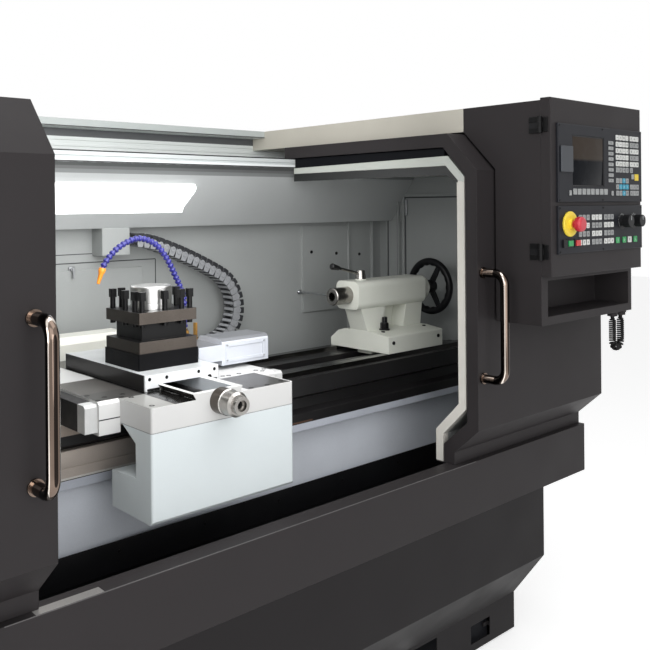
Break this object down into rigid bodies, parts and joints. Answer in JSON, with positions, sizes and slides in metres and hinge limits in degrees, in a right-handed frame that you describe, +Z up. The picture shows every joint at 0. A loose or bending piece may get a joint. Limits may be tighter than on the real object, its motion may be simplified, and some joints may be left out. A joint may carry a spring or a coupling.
{
  "type": "cnc turning lathe",
  "caption": "Flat-bed turning lathe in a sheet-metal enclosure with sliding doors, tool turret, tailstock and a hinged operator panel.",
  "frame": {"origin": "centre of the machine's bounding box at floor level", "axes": "+X along the bed from the headstock to the tailstock, +Y from the operator to the back, +Z up"},
  "size_m": [2.62, 1.619, 1.725],
  "materials": {
    "charcoal_coat": "fine-textured powder coat",
    "beige_coat": "satin powder coat",
    "interior_coat": "satin paint",
    "pale_coat": "satin paint",
    "machine_cream": "satin enamel",
    "bed_iron": "hardened and ground ways",
    "ground_steel": "ground",
    "black_oxide": "black oxide",
    "chrome_tube": "polished",
    "zinc_steel": "zinc plated",
    "black_rubber": "matt",
    "black_plastic": "fine texture",
    "panel_plastic": "film over plastic",
    "lamp_lens": "opal diffuser",
    "red_plastic": "gloss",
    "green_plastic": "gloss",
    "blue_plastic": "satin",
    "grey_plastic": "satin",
    "chain_plastic": "moulded nylon",
    "brass": "turned"
  },
  "bodies": {
    "frame": {"base_casing": "charcoal_coat", "chip_tray": "charcoal_coat", "leveling_feet": "zinc_steel", "bed": "bed_iron", "bed_support": "pale_coat", "headstock": "machine_cream", "spindle_motor": "black_oxide", "drive_belt": "black_rubber", "left_housing": "interior_coat", "right_housing": "interior_coat", "rear_enclosure": "interior_coat", "lamp_panel": "interior_coat", "work_light": "lamp_lens", "top_beam": "beige_coat", "door_rail": "beige_coat", "control_box": "charcoal_coat", "top_duct": "beige_coat", "long_drive": "black_oxide", "electrical_cabinet": "charcoal_coat", "drag_chain": "chain_plastic", "curly_cord": "black_rubber"},
    "left_door": {"left_door": "charcoal_coat", "left_handle": "chrome_tube"},
    "right_door": {"right_door": "charcoal_coat", "right_handle": "chrome_tube"},
    "cabinet_door": {"cabinet_door": "charcoal_coat"},
    "carriage": {"saddle": "pale_coat", "apron": "pale_coat", "way_wipers": "black_rubber", "cross_screw_housing": "ground_steel", "cross_servo": "machine_cream"},
    "cross_slide": {"cross_slide": "ground_steel", "turret_base": "black_oxide", "junction_box": "grey_plastic", "coolant_fitting": "brass"},
    "turret": {"turret_head": "black_oxide", "turret_screws": "black_oxide"},
    "hose": {"coolant_hose": "blue_plastic"},
    "cock": {"coolant_cock": "brass"},
    "long_screw": {"long_screw": "ground_steel"},
    "cross_screw": {"cross_screw": "ground_steel"},
    "spindle": {"spindle": "ground_steel", "chuck_body": "ground_steel"},
    "jaw_1": {"chuck_jaw_1": "ground_steel"},
    "jaw_2": {"chuck_jaw_2": "ground_steel"},
    "jaw_3": {"chuck_jaw_3": "ground_steel"},
    "motor_pulley": {"motor_pulley": "ground_steel"},
    "tailstock": {"tailstock": "machine_cream"},
    "quill": {"quill": "ground_steel"},
    "handwheel": {"tail_handwheel": "black_plastic"},
    "quill_lever": {"quill_lever": "zinc_steel"},
    "panel": {"panel_door": "charcoal_coat", "screen_unit": "panel_plastic", "machine_panel": "panel_plastic"},
    "estop": {"estop_button": "red_plastic"},
    "start": {"start_button": "green_plastic"},
    "stop": {"stop_button": "red_plastic"},
    "feed_knob": {"feed_knob": "black_plastic"},
    "speed_knob": {"speed_knob": "black_plastic"},
    "flap": {"interface_flap": "panel_plastic"}
  },
  "joints": [
    {"name": "left_door_slide", "type": "slide", "parent": "frame", "child": "left_door", "axis": [1, 0, 0], "range_m": [0, 0.624]},
    {"name": "right_door_slide", "type": "slide", "parent": "frame", "child": "right_door", "axis": [-1, 0, 0], "range_m": [0, 0.624]},
    {"name": "cabinet_door_hinge", "type": "hinge", "parent": "frame", "child": "cabinet_door", "pos_m": [0.627, 0.7715, 1.08], "axis": [0, 0, -1], "range_deg": [0, 110]},
    {"name": "carriage_slide", "type": "slide", "parent": "frame", "child": "carriage", "axis": [1, 0, 0], "range_m": [-0.255, 0.475], "deforming": ["drag_chain"]},
    {"name": "long_screw_turn", "type": "hinge", "parent": "frame", "child": "long_screw", "pos_m": [0.2, 0.0675, 0.884], "axis": [1, 0, 0], "continuous": true},
    {"name": "cross_slide_travel", "type": "slide", "parent": "carriage", "child": "cross_slide", "axis": [0, 1, 0], "range_m": [-0.11, 0.09]},
    {"name": "cross_screw_turn", "type": "hinge", "parent": "carriage", "child": "cross_screw", "pos_m": [-0.141, -0.0565, 0.972], "axis": [0, 1, 0], "continuous": true},
    {"name": "turret_index", "type": "hinge", "parent": "cross_slide", "child": "turret", "pos_m": [-0.1506, -0.0916, 1.1], "axis": [0, 0, 1], "continuous": true},
    {"name": "hose_swivel", "type": "hinge", "parent": "cross_slide", "child": "hose", "pos_m": [-0.0194, -0.0475, 1.094], "axis": [0, 0, 1], "range_deg": [-60, 60]},
    {"name": "cock_turn", "type": "hinge", "parent": "cross_slide", "child": "cock", "pos_m": [0.0036, -0.0475, 1.065], "axis": [1, 0, 0], "range_deg": [0, 90]},
    {"name": "spindle_turn", "type": "hinge", "parent": "frame", "child": "spindle", "pos_m": [-0.9, 0.0675, 1.118], "axis": [1, 0, 0], "continuous": true},
    {"name": "motor_turn", "type": "hinge", "parent": "frame", "child": "motor_pulley", "pos_m": [-1.24, 0.3485, 0.69], "axis": [1, 0, 0], "continuous": true},
    {"name": "jaw_1_slide", "type": "slide", "parent": "spindle", "child": "jaw_1", "axis": [0, 0, 1], "range_m": [-0.024, 0.006]},
    {"name": "jaw_2_slide", "type": "slide", "parent": "spindle", "child": "jaw_2", "axis": [0, -0.866, -0.5], "range_m": [-0.024, 0.006]},
    {"name": "jaw_3_slide", "type": "slide", "parent": "spindle", "child": "jaw_3", "axis": [0, 0.866, -0.5], "range_m": [-0.024, 0.006]},
    {"name": "tailstock_slide", "type": "slide", "parent": "frame", "child": "tailstock", "axis": [1, 0, 0], "range_m": [-0.3, 0.06]},
    {"name": "handwheel_turn", "type": "hinge", "parent": "tailstock", "child": "handwheel", "pos_m": [1.164, 0.0675, 1.118], "axis": [-1, 0, 0], "range_deg": [0, 7900]},
    {"name": "quill_slide", "type": "slide", "parent": "tailstock", "child": "quill", "axis": [-1, 0, 0], "range_m": [0, 0.11]},
    {"name": "quill_lever_turn", "type": "hinge", "parent": "tailstock", "child": "quill_lever", "pos_m": [0.786, 0.0675, 1.18], "axis": [0, 0, 1], "range_deg": [-30, 30]},
    {"name": "panel_hinge", "type": "hinge", "parent": "frame", "child": "panel", "pos_m": [0.696, -0.7275, 1.474], "axis": [0, 0, -1], "range_deg": [0, 110]},
    {"name": "estop_press", "type": "slide", "parent": "panel", "child": "estop", "axis": [0, 1, 0], "range_m": [0, 0.005], "stiffness_N_per_m": 900},
    {"name": "start_press", "type": "slide", "parent": "panel", "child": "start", "axis": [0, 1, 0], "range_m": [0, 0.003], "stiffness_N_per_m": 600},
    {"name": "stop_press", "type": "slide", "parent": "panel", "child": "stop", "axis": [0, 1, 0], "range_m": [0, 0.003], "stiffness_N_per_m": 600},
    {"name": "feed_knob_turn", "type": "hinge", "parent": "panel", "child": "feed_knob", "pos_m": [1.078, -0.7765, 1.377], "axis": [0, -1, 0], "range_deg": [-150, 150]},
    {"name": "speed_knob_turn", "type": "hinge", "parent": "panel", "child": "speed_knob", "pos_m": [1.15, -0.7765, 1.377], "axis": [0, -1, 0], "range_deg": [-150, 150]},
    {"name": "flap_hinge", "type": "hinge", "parent": "panel", "child": "flap", "pos_m": [0.74, -0.7685, 1.556], "axis": [0, 0, -1], "range_deg": [0, 100]}
  ],
  "couplings": [
    {"joint": "long_screw_turn", "follows": "carriage_slide", "rad_per_m": -628.32},
    {"joint": "cross_screw_turn", "follows": "cross_slide_travel", "rad_per_m": -1256.6},
    {"joint": "motor_turn", "follows": "spindle_turn", "ratio": 1.6},
    {"joint": "jaw_2_slide", "follows": "jaw_1_slide", "ratio": 1},
    {"joint": "jaw_3_slide", "follows": "jaw_1_slide", "ratio": 1},
    {"joint": "quill_slide", "follows": "handwheel_turn", "m_per_rad": 0.00079577}
  ]
}
